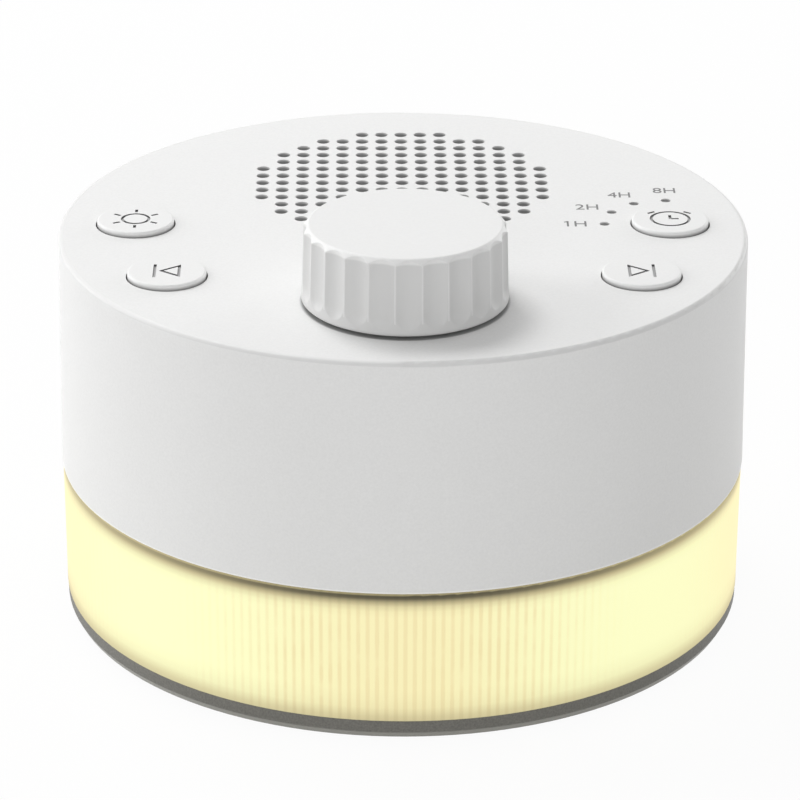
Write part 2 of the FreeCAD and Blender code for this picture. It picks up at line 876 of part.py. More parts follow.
def make_lamp_leds():
    led = block(led_size, led_size, led_board_bottom - led_height, led_board_bottom, led_circle)
    well = cylinder(led_size * 0.36, led_board_bottom - led_height, led_board_bottom - led_height + led_well_depth,
                    led_circle)
    led = led.cut(well)
    return Part.makeCompound([
        led.rotated(point(0, 0, 0), point(0, 0, 1), step * 360 / led_count) for step in range(led_count)
    ])


def make_led_board_screws():
    one = screw(small_shank, small_length, small_head_radius, led_screw_head)
    places = [polar(led_screw_circle, angle, led_board_bottom) for angle in led_screw_angles]
    return Part.makeCompound([moved(one, p.x, p.y, p.z) for p in places])


def make_reflector():
    """A white cone, with a flat flange at its foot, that throws the light of the LEDs outwards."""
    top = led_board_bottom - led_screw_head - reflector_gap
    neck = reflector_foot_radius - reflector_flange
    return turned([
        (reflector_top_radius - reflector_wall, top),
        (reflector_top_radius, top),
        (neck, floor_top + reflector_wall),
        (reflector_foot_radius, floor_top + reflector_wall),
        (reflector_foot_radius, floor_top),
        (neck - reflector_wall, floor_top),
    ])


def make_ribbed_diffuser():
    """A thin sleeve inside the lamp, ribbed from top to bottom on its inner face."""
    low = rim_top
    high = skirt_bottom - 0.1
    half = 180 / rib_count
    corners = []
    for rib in range(rib_count):
        corners.append(polar(diffuser_inner_radius, 2 * half * rib - 90))
        corners.append(polar(diffuser_inner_radius + rib_depth, 2 * half * rib + half - 90))
    inside = Part.Wire(Part.makePolygon(corners + corners[:1]))
    outside = Part.Wire(Part.makeCircle(diffuser_outer_radius))
    face = Part.makeFace([outside, inside], "Part::FaceMakerBullseye")
    sleeve = face.extrude(point(0, 0, high - low))
    return moved(sleeve, 0, 0, low)


def make_lamp_shell():
    """The translucent wall of the lamp, with a lip that enters the housing."""
    inside = quarter(lamp_edge_round)
    return turned([
        (lamp_inner_radius, lip_top),
        (lip_radius, lip_top),
        (lip_radius, lamp_top),
        (lamp_top_radius - lamp_edge_round, lamp_top),
        (lamp_top_radius, lamp_top - lamp_edge_round, lamp_top_radius - inside, lamp_top - inside),
        (lamp_bottom_radius, lamp_bottom),
        (lamp_inner_radius, lamp_bottom),
    ])


def make_base_tray():
    tray = turned([
        (0, base_bottom),
        (base_radius - base_chamfer_inset, base_bottom),
        (base_radius, base_bottom + base_chamfer_height),
        (base_radius, lamp_bottom),
        (chassis_radius, lamp_bottom),
        (chassis_radius, rim_top),
        (rim_inner_radius, rim_top),
        (rim_inner_radius, floor_top),
        (0, floor_top),
    ])
    added, cuts = [], []
    head_seat = post_bottom - base_post_floor
    for angle in post_angles:
        centre = polar(post_circle, angle)
        added.append(cylinder(post_radius + base_post_wall, floor_top, post_bottom, centre.x, centre.y))
        cuts.append(cylinder(big_head_radius + head_clearance, base_bottom - 1, head_seat,
                             centre.x, centre.y))
        cuts.append(cylinder(big_shank + through_clearance, base_bottom, post_bottom + 1,
                             centre.x, centre.y))
    for angle in foot_angles:
        centre = polar(foot_circle, angle)
        cuts.append(cylinder(foot_radius + foot_clearance, base_bottom - 1, foot_height,
                             centre.x, centre.y))
    return tray.fuse(added).cut(cuts).removeSplitter()


def make_base_screws():
    one = screw(big_shank, big_length, big_head_radius, big_head_height)
    places = [polar(post_circle, angle, post_bottom - base_post_floor) for angle in post_angles]
    return Part.makeCompound([moved(one, p.x, p.y, p.z) for p in places])


def make_rubber_feet():
    foot = turned([
        (0, 0),
        (foot_radius - foot_chamfer, 0),
        (foot_radius, foot_chamfer),
        (foot_radius, foot_height),
        (0, foot_height),
    ])
    places = [polar(foot_circle, angle) for angle in foot_angles]
    return Part.makeCompound([moved(foot, p.x, p.y) for p in places])


def make_battery():
    bottom = floor_top + battery_pad_height
    cell = block(battery_length, battery_width, bottom, bottom + battery_height)
    upright = [e for e in cell.Edges if abs(e.Length - battery_height) < 1e-6]
    return cell.makeFillet(battery_round, upright)


def make_battery_pad():
    return block(battery_length - 2 * battery_pad_inset, battery_width - 2 * battery_pad_inset,
                 floor_top, floor_top + battery_pad_height)


pieces = {
    "upper_housing": make_upper_housing,
    "dust_screen": make_dust_screen,
    "speaker_gasket": make_speaker_gasket,
    "speaker_basket": make_speaker_basket,
    "speaker_surround": make_speaker_surround,
    "speaker_cone": make_speaker_cone,
    "speaker_dust_cap": make_speaker_dust_cap,
    "speaker_magnet": make_speaker_magnet,
    "speaker_screws": make_speaker_screws,
    "control_board": make_control_board,
    "board_screws": make_board_screws,
    "board_components": make_board_components,
    "encoder_case": make_encoder_case,
    "encoder_bushing": make_encoder_bushing,
    "encoder_shaft": make_encoder_shaft,
    "encoder_plunger": make_encoder_plunger,
    "encoder_washer": make_encoder_washer,
    "encoder_nut": make_encoder_nut,
    "volume_knob": make_volume_knob,
    "tact_switches": make_tact_switches,
    "timer_light_guide": make_timer_light_guide,
    "timer_leds": make_timer_leds,
    "chassis_plate": make_chassis_plate,
    "chassis_screws": make_chassis_screws,
    "socket_board": make_socket_board,
    "socket_board_screws": make_socket_board_screws,
    "charging_socket": make_charging_socket,
    "socket_tongue": make_socket_tongue,
    "led_board": make_led_board,
    "lamp_leds": make_lamp_leds,
    "led_board_screws": make_led_board_screws,
    "reflector": make_reflector,
    "ribbed_diffuser": make_ribbed_diffuser,
    "lamp_shell": make_lamp_shell,
    "base_tray": make_base_tray,
    "base_screws": make_base_screws,
    "rubber_feet": make_rubber_feet,
    "battery": make_battery,
    "battery_pad": make_battery_pad,
}

os.makedirs("parts", exist_ok=True)
for name, make in pieces.items():
    make().exportStep("parts/" + name + ".step")
for name, (button_x, button_y) in buttons.items():
    make_button(button_x, button_y).exportStep("parts/" + name + "_button.step")
    make_switch_plunger(button_x, button_y).exportStep("parts/" + name + "_plunger.step")
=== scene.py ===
import json
import math

import bmesh
import bpy
from mathutils import Matrix, Vector


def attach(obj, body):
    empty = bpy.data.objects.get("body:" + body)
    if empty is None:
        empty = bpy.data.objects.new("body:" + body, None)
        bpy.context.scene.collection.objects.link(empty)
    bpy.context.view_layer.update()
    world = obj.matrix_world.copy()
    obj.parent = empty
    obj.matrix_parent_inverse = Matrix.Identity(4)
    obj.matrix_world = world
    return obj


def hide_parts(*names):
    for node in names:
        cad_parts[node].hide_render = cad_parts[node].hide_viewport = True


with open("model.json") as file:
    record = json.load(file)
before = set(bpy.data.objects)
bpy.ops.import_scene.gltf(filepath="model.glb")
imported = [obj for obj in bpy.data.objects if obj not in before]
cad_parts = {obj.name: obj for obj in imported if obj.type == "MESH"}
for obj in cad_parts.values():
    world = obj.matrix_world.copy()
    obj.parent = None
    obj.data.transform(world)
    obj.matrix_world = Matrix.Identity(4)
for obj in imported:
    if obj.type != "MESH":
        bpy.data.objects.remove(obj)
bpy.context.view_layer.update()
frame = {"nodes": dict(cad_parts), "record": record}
mm = 0.001
print("frame loaded with", len(frame["nodes"]), "nodes")


# Camera, lights and floor

cameraView = {
    "focalLength": 188.05,
    "elevation": 23.682,
    "azimuth": -0.6025,
    "roll": 0.2162,
    "distance": 649.07 * mm,
    "aimX": -0.382 * mm,
    "aimZ": 31.827 * mm,
}

studio = {
    "worldStrength": 0.58,
    "floorSize": 6.0,
    "floorColour": (0.8, 0.8, 0.8, 1),
    "floorShadow": 0.05,
    "floorDrop": 0.02 * mm,
    "lamps": {
        "leftWindow": {"place": (-1.03, 0.35, 0.45), "aim": (0, 0, 0.04), "size": (0.5, 0.8), "power": 5.3},
        "overhead": {"place": (-0.55, 0.85, 1.5), "aim": (0, 0, 0.06), "size": (0.7, 0.7), "power": 14.5},
        "frontFill": {"place": (-0.25, -1.25, 0.35), "aim": (0, 0, 0.03), "size": (0.6, 0.6), "power": 3.3},
        "rightCard": {"place": (0.9, 0.9, 0.3), "aim": (0, 0, 0.03), "size": (0.4, 0.3), "power": 3.4},
    },
}


def makeCamera(view):
    data = bpy.data.cameras.new("photoCamera")
    data.lens = view["focalLength"]
    data.sensor_width = 36
    data.clip_start = 0.01
    data.clip_end = 20
    camera = bpy.data.objects.new("photoCamera", data)
    bpy.context.scene.collection.objects.link(camera)
    azimuth = math.radians(view["azimuth"])
    elevation = math.radians(view["elevation"])
    right = Vector((math.cos(azimuth), math.sin(azimuth), 0))
    back = Vector((math.sin(azimuth) * math.cos(elevation),
                   -math.cos(azimuth) * math.cos(elevation),
                   math.sin(elevation)))
    up = back.cross(right)
    turn = Matrix((right, up, back)).transposed() @ Matrix.Rotation(math.radians(view["roll"]), 3, "Z")
    place = right * view["aimX"] + Vector((0, 0, view["aimZ"])) + back * view["distance"]
    camera.matrix_world = Matrix.Translation(place) @ turn.to_4x4()
    bpy.context.scene.camera = camera


def makeLamp(name, spec):
    data = bpy.data.lights.new(name, "AREA")
    data.shape = "RECTANGLE"
    data.size, data.size_y = spec["size"]
    data.energy = spec["power"]
    lamp = bpy.data.objects.new(name, data)
    lamp.location = Vector(spec["place"])
    lamp.rotation_mode = "QUATERNION"
    lamp.rotation_quaternion = (Vector(spec["aim"]) - lamp.location).to_track_quat("-Z", "Y")
    bpy.context.scene.collection.objects.link(lamp)


def math2(tree, operation, first, second=0):
    # First and second are numbers or the outputs of other nodes
    node = tree.nodes.new("ShaderNodeMath")
    node.operation = operation
    for socket, value in zip(node.inputs, (first, second)):
        if isinstance(value, (int, float)):
            socket.default_value = value
        else:
            tree.links.new(value, socket)
    return node.outputs[0]


def whiteToCamera(tree, lit, output, share):
    # The eye, gloss and glass see a white backdrop; light and shadow come from the lit shader
    nodes = tree.nodes
    ray = nodes.new("ShaderNodeLightPath").outputs
    seen = math2(tree, "MAXIMUM", ray["Is Camera Ray"], ray["Is Glossy Ray"])
    seen = math2(tree, "MAXIMUM", seen, ray["Is Transmission Ray"])
    white = nodes.new("ShaderNodeEmission")
    mix = nodes.new("ShaderNodeMixShader")
    tree.links.new(math2(tree, "MULTIPLY", seen, share), mix.inputs["Fac"])
    tree.links.new(lit.outputs[0], mix.inputs[1])
    tree.links.new(white.outputs[0], mix.inputs[2])
    tree.links.new(mix.outputs[0], output.inputs["Surface"])


def makeWorld(spec):
    world = bpy.data.worlds.new("studioWorld")
    world.use_nodes = True
    nodes = world.node_tree.nodes
    nodes.clear()
    lit = nodes.new("ShaderNodeBackground")
    lit.inputs["Strength"].default_value = spec["worldStrength"]
    whiteToCamera(world.node_tree, lit, nodes.new("ShaderNodeOutputWorld"), 1.0)
    bpy.context.scene.world = world


def makeFloor(spec):
    shape = bmesh.new()
    bmesh.ops.create_grid(shape, x_segments=1, y_segments=1, size=spec["floorSize"] / 2,
                          matrix=Matrix.Translation((0, 0, -spec["floorDrop"])))
    mesh = bpy.data.meshes.new("studioFloor")
    shape.to_mesh(mesh)
    shape.free()
    floor = bpy.data.objects.new("studioFloor", mesh)
    bpy.context.scene.collection.objects.link(floor)
    paint = bpy.data.materials.new("studioFloorWhite")
    paint.use_nodes = True
    nodes = paint.node_tree.nodes
    nodes.clear()
    lit = nodes.new("ShaderNodeBsdfDiffuse")
    lit.inputs["Color"].default_value = spec["floorColour"]
    leave = nodes.new("ShaderNodeOutputMaterial")
    whiteToCamera(paint.node_tree, lit, leave, 1 - spec["floorShadow"])
    # From below the floor is clear, so that the underside of the base can be looked at
    clear = nodes.new("ShaderNodeBsdfTransparent")
    side = nodes.new("ShaderNodeMixShader")
    top = leave.inputs["Surface"].links[0].from_socket
    paint.node_tree.links.new(nodes.new("ShaderNodeNewGeometry").outputs["Backfacing"], side.inputs["Fac"])
    paint.node_tree.links.new(top, side.inputs[1])
    paint.node_tree.links.new(clear.outputs[0], side.inputs[2])
    paint.node_tree.links.new(side.outputs[0], leave.inputs["Surface"])
    mesh.materials.append(paint)


bpy.context.scene.view_settings.view_transform = "Standard"
makeCamera(cameraView)
makeWorld(studio)
makeFloor(studio)
for lampName, lampSpec in studio["lamps"].items():
    makeLamp(lampName, lampSpec)
print("camera, lights and floor made")


# Shader groups that several finishes share

def newGroup(name, inputs, outputs):
    group = bpy.data.node_groups.new(name, "ShaderNodeTree")
    for label, value in inputs:
        socket = group.interface.new_socket(name=label, in_out="INPUT", socket_type="NodeSocketFloat")
        socket.default_value = value
    for label in outputs:
        group.interface.new_socket(name=label, in_out="OUTPUT", socket_type="NodeSocketFloat")
    return group, group.nodes.new("NodeGroupInput"), group.nodes.new("NodeGroupOutput")


def placeSplit(tree):
    split = tree.nodes.new("ShaderNodeSeparateXYZ")
    tree.links.new(tree.nodes.new("ShaderNodeTexCoord").outputs["Object"], split.inputs[0])
    return split.outputs


def noise(tree, vector, scale, detail=2.0, roughness=0.5):
    node = tree.nodes.new("ShaderNodeTexNoise")
    node.inputs["Detail"].default_value = detail
    node.inputs["Roughness"].default_value = roughness
    tree.links.new(vector, node.inputs["Vector"])
    if isinstance(scale, (int, float)):
        node.inputs["Scale"].default_value = scale
    else:
        tree.links.new(scale, node.inputs["Scale"])
    return node.outputs["Fac"]


def makeGrainGroup(fineDetail=3.0, fineRoughness=0.65, speckShare=0.45, cloudDetail=3.0):
    # The fine eroded grain of a moulding: Height for bump, Speck for tone, Cloud for slow unevenness
    group, entry, leave = newGroup(
        "mouldedGrain", [("Grain Scale", 5000.0), ("Cloud Scale", 90.0)], ["Height", "Speck", "Cloud"])
    place = group.nodes.new("ShaderNodeTexCoord").outputs["Object"]
    fine = noise(group, place, entry.outputs["Grain Scale"], fineDetail, fineRoughness)
    group.links.new(fine, leave.inputs["Height"])
    speck = noise(group, place, math2(group, "MULTIPLY", entry.outputs["Grain Scale"], speckShare))
    group.links.new(speck, leave.inputs["Speck"])
    group.links.new(noise(group, place, entry.outputs["Cloud Scale"], cloudDetail), leave.inputs["Cloud"])
    return group


def makeBrushGroup(streakDetail=4.0, streakRoughness=0.7):
    # Turned or drawn metal: noise drawn out into streaks along Z, and left even where Squeeze is 1
    group, entry, leave = newGroup("metalStreaks", [("Scale", 900.0), ("Squeeze", 0.05)], ["Streak"])
    place = group.nodes.new("ShaderNodeTexCoord").outputs["Object"]
    stretch = group.nodes.new("ShaderNodeCombineXYZ")
    stretch.inputs["X"].default_value = 1.0
    stretch.inputs["Y"].default_value = 1.0
    group.links.new(entry.outputs["Squeeze"], stretch.inputs["Z"])
    squeezed = group.nodes.new("ShaderNodeVectorMath")
    squeezed.operation = "MULTIPLY"
    group.links.new(place, squeezed.inputs[0])
    group.links.new(stretch.outputs[0], squeezed.inputs[1])
    streak = noise(group, squeezed.outputs[0], entry.outputs["Scale"], streakDetail, streakRoughness)
    group.links.new(streak, leave.inputs["Streak"])
    return group


def makeWeaveGroup():
    # Plain weave in X and Y: Height for bump, and Cover, which is 0 in the gaps between the threads
    group, entry, leave = newGroup("plainWeave", [("Threads", 2500.0)], ["Height", "Cover"])
    threads = []
    for along in placeSplit(group)[:2]:
        wave = math2(group, "SINE", math2(group, "MULTIPLY", along, entry.outputs["Threads"]))
        threads.append(math2(group, "ABSOLUTE", wave))
    group.links.new(math2(group, "MAXIMUM", *threads), leave.inputs["Height"])
    group.links.new(math2(group, "MULTIPLY", *threads), leave.inputs["Cover"])
    return group


def makeHeightGroup():
    # A mask for painted light and shade low on a piece: full at Low and under it, gone at High
    group, entry, leave = newGroup("heightMask", [("Low", 0.0), ("High", 0.001)], ["Mask"])
    spread = group.nodes.new("ShaderNodeMapRange")
    spread.inputs["To Min"].default_value = 1
    spread.inputs["To Max"].default_value = 0
    group.links.new(placeSplit(group)["Z"], spread.inputs["Value"])
    group.links.new(entry.outputs["Low"], spread.inputs["From Min"])
    group.links.new(entry.outputs["High"], spread.inputs["From Max"])
    group.links.new(spread.outputs["Result"], leave.inputs["Mask"])
    return group


grainGroup = makeGrainGroup()
brushGroup = makeBrushGroup()
weaveGroup = makeWeaveGroup()
heightGroup = makeHeightGroup()


def useGroup(tree, group, **values):
    node = tree.nodes.new("ShaderNodeGroup")
    node.node_tree = group
    for label, value in values.items():
        node.inputs[label.replace("_", " ")].default_value = value
    return node


def lowMask(tree, low, high):
    return useGroup(tree, heightGroup, Low=low * mm, High=high * mm).outputs["Mask"]


def newFinish(name, **values):
    material = bpy.data.materials.new(name)
    material.use_nodes = True
    shader = material.node_tree.nodes["Principled BSDF"]
    for label, value in values.items():
        shader.inputs[label.replace("_", " ")].default_value = value
    return material, material.node_tree, shader


def mixColour(tree, factor, first, second):
    # First and second are plain colours or the outputs of other nodes
    mix = tree.nodes.new("ShaderNodeMix")
    mix.data_type = "RGBA"
    tree.links.new(factor, mix.inputs["Factor"])
    for socket, colour in ((mix.inputs[6], first), (mix.inputs[7], second)):
        if isinstance(colour, tuple):
            socket.default_value = (*colour, 1)
        else:
            tree.links.new(colour, socket)
    return mix.outputs[2]


def colourBetween(tree, factor, first, second, socket):
    tree.links.new(mixColour(tree, factor, first, second), socket)


def between(tree, value, low, high, start=0, end=1):
    # Runs from start to end while the value goes from low to high
    spread = tree.nodes.new("ShaderNodeMapRange")
    ends = {"From Min": low, "From Max": high, "To Min": start, "To Max": end}
    for label, number in ends.items():
        spread.inputs[label].default_value = number
    tree.links.new(value, spread.inputs["Value"])
    return spread.outputs["Result"]


def rangeTo(tree, value, start, end, socket):
    tree.links.new(between(tree, value, 0, 1, start, end), socket)


def addBump(tree, shader, height, strength, distance):
    bump = tree.nodes.new("ShaderNodeBump")
    bump.inputs["Strength"].default_value = strength
    bump.inputs["Distance"].default_value = distance
    tree.links.new(height, bump.inputs["Height"])
    tree.links.new(bump.outputs["Normal"], shader.inputs["Normal"])


moulding = {"uneven": 0.05, "bumpDepth": 0.05 * mm}
metalStreak = {"shade": 0.86, "smoother": 0.08, "rougher": 0.1, "bump": 0.15, "bumpDepth": 0.02 * mm}
clothWeave = {"gapRoughness": 0.95, "threadRoughness": 0.75, "bump": 0.5, "bumpDepth": 0.1 * mm}


def mouldedPlastic(name, colour, roughness=0.5, tone=0.04, grain=5000.0, bump=0.12):
    material, tree, shader = newFinish(name)
    surface = useGroup(tree, grainGroup, Grain_Scale=grain)
    darker = tuple(part * (1 - tone) for part in colour)
    lighter = tuple(min(1.0, part * (1 + tone)) for part in colour)
    colourBetween(tree, surface.outputs["Speck"], darker, lighter, shader.inputs["Base Color"])
    rangeTo(tree, surface.outputs["Cloud"], roughness - moulding["uneven"], roughness + moulding["uneven"],
            shader.inputs["Roughness"])
    addBump(tree, shader, surface.outputs["Height"], bump, moulding["bumpDepth"])
    return material


def streakedMetal(name, colour, roughness=0.3, scale=900.0, squeeze=0.05):
    material, tree, shader = newFinish(name, Metallic=1.0)
    surface = useGroup(tree, brushGroup, Scale=scale, Squeeze=squeeze)
    streak = surface.outputs["Streak"]
    darker = tuple(part * metalStreak["shade"] for part in colour)
    colourBetween(tree, streak, darker, colour, shader.inputs["Base Color"])
    rangeTo(tree, streak, roughness - metalStreak["smoother"], roughness + metalStreak["rougher"],
            shader.inputs["Roughness"])
    addBump(tree, shader, streak, metalStreak["bump"], metalStreak["bumpDepth"])
    return material


def wovenCloth(name, colour, gapColour, threads):
    material, tree, shader = newFinish(name, Sheen_Weight=0.2)
    surface = useGroup(tree, weaveGroup, Threads=threads)
    cover = surface.outputs["Cover"]
    colourBetween(tree, cover, gapColour, colour, shader.inputs["Base Color"])
    rangeTo(tree, cover, clothWeave["gapRoughness"], clothWeave["threadRoughness"],
            shader.inputs["Roughness"])
    addBump(tree, shader, surface.outputs["Height"], clothWeave["bump"], clothWeave["bumpDepth"])
    return material


lampGlow = {
    "bodyColour": (0.17, 0.158, 0.12),
    "glowColour": (0.814, 0.748, 0.408),
    "ribColour": (0.754, 0.655, 0.342),
    "ribCount": 240,
    "ribStrength": 2.1,
    "swellCount": 4,
    "swellColour": (0.86, 0.88, 0.50),
    "swellWidth": 1.6,
    "swellReach": 0.6,
    "warmth": 2.2,
    "sideWarmth": 0.5,
    "sideWidth": 4,
    "warmColour": (0.82, 0.70, 0.37),
    "ribBlur": 0.25,
    "top": 24.1,
    "bottom": 3.5,
    # Share of the full glow at heights above the bottom edge of the shell
    "heightTones": ((0, 0.66), (0.7, 0.72), (1.4, 0.82), (2.2, 0.92), (3.6, 0.97), (5.2, 1.0), (16.9, 1.0),
                    (17.9, 0.95), (18.7, 0.78), (19.4, 0.46), (20.0, 0.1), (20.4, 0.05), (20.5, 0.36)),
    "upperFrom": 0.5,
    "unlitShare": 0.2,
    "unevenScale": 260.0,
}


def lampFinish(spec):
    # The light behind the shell: soft upright ribs, shaded at the top edge and a little at the base.
    # It swells round the ring, where the ribs are drowned in it, and warms towards the two sides
    material, tree, shader = newFinish("lampGlow", Emission_Strength=1.0, Roughness=0.6,
                                       Specular_IOR_Level=0.2)
    place = tree.nodes.new("ShaderNodeTexCoord").outputs["Object"]
    split = tree.nodes.new("ShaderNodeSeparateXYZ")
    tree.links.new(place, split.inputs[0])
    turn = math2(tree, "ARCTAN2", split.outputs["Y"], split.outputs["X"])
    wave = math2(tree, "COSINE", math2(tree, "MULTIPLY", turn, spec["ribCount"]))
    raised = math2(tree, "MAXIMUM", math2(tree, "ADD", wave, spec["ribBlur"]))
    crest = math2(tree, "MULTIPLY", raised, noise(tree, place, spec["unevenScale"]))
    rounds = math2(tree, "COSINE", math2(tree, "MULTIPLY", turn, spec["swellCount"]))
    calm = between(tree, rounds, -1, 1)
    ahead = math2(tree, "SINE", turn)
    face = math2(tree, "MULTIPLY", ahead, ahead)
    ribs = math2(tree, "MULTIPLY", math2(tree, "MULTIPLY", crest, spec["ribStrength"]), calm)
    ribs = math2(tree, "MULTIPLY", ribs, face)
    height = between(tree, split.outputs["Z"], spec["bottom"] * mm, spec["top"] * mm)
    tones = tree.nodes.new("ShaderNodeValToRGB")
    ramp = tones.color_ramp.elements
    reach = spec["top"] - spec["bottom"]
    while len(ramp) < len(spec["heightTones"]):
        ramp.new(0.5)
    for stop, (rise, tone) in zip(ramp, spec["heightTones"]):
        stop.position = rise / reach
        stop.color = (tone, tone, tone, 1)
    tree.links.new(height, tones.inputs[0])
    upper = math2(tree, "GREATER_THAN", height, spec["upperFrom"])
    aside = math2(tree, "MULTIPLY", math2(tree, "SUBTRACT", 1, face), upper)
    reachDown = between(tree, aside, 0, 1, 1, 1 - spec["swellReach"])
    # hidden is painted shade in the glow near the top and bottom edges; there the glow is also painted
    # warmer
    hidden = math2(tree, "MULTIPLY", reachDown, math2(tree, "SUBTRACT", 1, tones.outputs[0]))
    lit = math2(tree, "SUBTRACT", 1, hidden)
    narrow = math2(tree, "POWER", calm, spec["swellWidth"])
    glow = mixColour(tree, narrow, spec["swellColour"], spec["glowColour"])
    side = math2(tree, "POWER", math2(tree, "SUBTRACT", 1, face), spec["sideWidth"])
    glow = mixColour(tree, math2(tree, "MULTIPLY", side, spec["sideWarmth"]), glow, spec["warmColour"])
    glow = mixColour(tree, math2(tree, "MULTIPLY", hidden, spec["warmth"]), glow, spec["warmColour"])
    glow = mixColour(tree, ribs, glow, spec["ribColour"])
    colourBetween(tree, lit, (0, 0, 0), glow, shader.inputs["Emission Color"])
    # Painted shade: the body colour is darkened where the glow is shaded
    paintedShadeBody = tuple(part * spec["unlitShare"] for part in spec["bodyColour"])
    colourBetween(tree, lit, paintedShadeBody, spec["bodyColour"], shader.inputs["Base Color"])
    return material


def shadeBand(material, colour, mask):
    # Puts another colour over the finish where the mask is 1
    tree = material.node_tree
    socket = tree.nodes["Principled BSDF"].inputs["Base Color"]
    colourBetween(tree, mask, socket.links[0].from_socket, colour, socket)


white = (0.80, 0.80, 0.795)
# After the colour come roughness, tone, grain and bump for a plastic, and roughness, scale and
# squeeze for a metal
finishes = {
    "white_plastic": mouldedPlastic("housingWhite", white, 0.5, 0.05, 6000.0, 0.2),
    "knob_plastic": mouldedPlastic("knobWhite", white, 0.46, 0.03),
    "button_plastic": mouldedPlastic("buttonWhite", white, 0.48, 0.03),
    "lamp_plastic": lampFinish(lampGlow),
    "base_plastic": mouldedPlastic("baseGrey", (0.157, 0.153, 0.139), 0.5, 0.45, 7500.0, 0.3),
    "foot_rubber": mouldedPlastic("footRubber", (0.03, 0.03, 0.032), 0.8, 0.2, 2500.0, 0.5),
    "inner_plastic": mouldedPlastic("innerWhite", (0.7, 0.7, 0.68), 0.55, 0.04),
    "clear_plastic": mouldedPlastic("lightPin", (0.15, 0.15, 0.15), 0.35, 0.1),
    "screen_cloth": wovenCloth("dustMesh", (0.10, 0.10, 0.105), (0.015, 0.015, 0.015), 9000.0),
    "foam": mouldedPlastic("foam", (0.05, 0.05, 0.05), 0.95, 0.5, 1800.0, 1.0),
    "speaker_frame": mouldedPlastic("basketBlack", (0.02, 0.02, 0.02), 0.45, 0.1, 3000.0, 0.3),
    "magnet_steel": streakedMetal("magnetSteel", (0.45, 0.45, 0.47), 0.35),
    "cone_paper": mouldedPlastic("conePaper", (0.03, 0.03, 0.03), 0.85, 0.35, 1500.0, 0.8),
    "surround_rubber": mouldedPlastic("surroundRubber", (0.02, 0.02, 0.02), 0.6, 0.1, 2500.0, 0.2),
    "board": mouldedPlastic("boardGreen", (0.02, 0.12, 0.05), 0.4, 0.25, 1200.0, 0.2),
    "chip_plastic": mouldedPlastic("chipBlack", (0.02, 0.02, 0.02), 0.5, 0.1, 4000.0, 0.3),
    "led_plastic": mouldedPlastic("ledYellow", (0.85, 0.7, 0.2), 0.3, 0.05),
    "plated_steel": streakedMetal("platedSteel", (0.62, 0.62, 0.63), 0.25),
    "shaft_metal": streakedMetal("turnedAluminium", (0.7, 0.7, 0.72), 0.3, 1500.0, 1.0),
    "screw_steel": streakedMetal("zincScrew", (0.5, 0.5, 0.52), 0.3, 1500.0, 1.0),
    "battery_foil": streakedMetal("foilSilver", (0.6, 0.61, 0.62), 0.4, 300.0, 1.0),
}


housingShade = {
    "deck": 60.5,
    "paintedHoleShade": (0.40, 0.40, 0.40),
    "holeFrom": 0.1,
    "holeFull": 0.4,
    "innerRadius": 49.5,
    "footTop": 24.65,
    "paintedFootHighlight": (0.9, 0.9, 0.89),
    "edgeRadius": 51.6,
    "edgeFade": 52.0,
    "edgeDrop": 0.62,
    "paintedEdgeShading": (0.74, 0.74, 0.735),
    "knobY": -29.0,
    "knobFoot": 15.1,
    "knobFade": 15.5,
    "paintedKnobShadow": (0.33, 0.33, 0.33),
}


def awayFrom(tree, x, y, middleY=0):
    # Distance from an upright line that stands at X 0
    along = math2(tree, "SUBTRACT", y, middleY)
    squares = math2(tree, "ADD", math2(tree, "MULTIPLY", x, x), math2(tree, "MULTIPLY", along, along))
    return math2(tree, "SQRT", squares)


def shadeHousing(spec):
    # Painted shade darkens the walls of the holes, a painted shadow darkens the deck under the knob,
    # painted shade dulls the rim of the deck, and a painted highlight lightens the foot edge where the
    # lamp's light falls
    material = finishes["white_plastic"]
    tree = material.node_tree
    x, y, z = placeSplit(tree)
    depth = math2(tree, "SUBTRACT", spec["deck"] * mm, z)
    away = awayFrom(tree, x, y)
    inside = math2(tree, "LESS_THAN", away, spec["innerRadius"] * mm)
    # Painted shade: the walls of the holes below the deck are darkened as if in shade
    sunk = between(tree, depth, spec["holeFrom"] * mm, spec["holeFull"] * mm)
    shadeBand(material, spec["paintedHoleShade"], math2(tree, "MULTIPLY", inside, sunk))
    # Painted highlight: the foot edge is lightened as if lit by the lamp below it
    low = math2(tree, "LESS_THAN", z, spec["footTop"] * mm)
    shadeBand(material, spec["paintedFootHighlight"], low)
    # Painted shade: the rounded rim of the deck is darkened
    rim = math2(tree, "MULTIPLY", math2(tree, "LESS_THAN", depth, spec["edgeDrop"] * mm),
                between(tree, away, spec["edgeRadius"] * mm, spec["edgeFade"] * mm))
    shadeBand(material, spec["paintedEdgeShading"], rim)
    # Painted shadow: the deck under the knob's skirt is darkened
    fromKnob = awayFrom(tree, x, y, spec["knobY"] * mm)
    under = between(tree, fromKnob, spec["knobFoot"] * mm, spec["knobFade"] * mm, 1, 0)
    onDeck = math2(tree, "LESS_THAN", depth, spec["holeFrom"] * mm)
    shadeBand(material, spec["paintedKnobShadow"], math2(tree, "MULTIPLY", under, onDeck))


baseShade = {"edgeTop": 1.65, "edgeBottom": 1.35, "paintedEdgeShading": (0.34, 0.335, 0.31)}


def shadeBase(spec):
    # The chamfered lower edge is painted lighter, a painted highlight of the light bounced up from the
    # floor
    material = finishes["base_plastic"]
    low = lowMask(material.node_tree, spec["edgeBottom"], spec["edgeTop"])
    shadeBand(material, spec["paintedEdgeShading"], low)


shadeHousing(housingShade)
shadeBase(baseShade)
for part in frame["record"]["subparts"]:
    for holder in frame["nodes"][part["node"]].material_slots:
        holder.material = finishes[part["material_slot"]]
print("finishes made:", len(finishes))


# Building and finishing helpers for the new pieces

def sameRadius(radius):
    # For extrudeRing: the same radius all the way round
    return lambda turn, z: radius


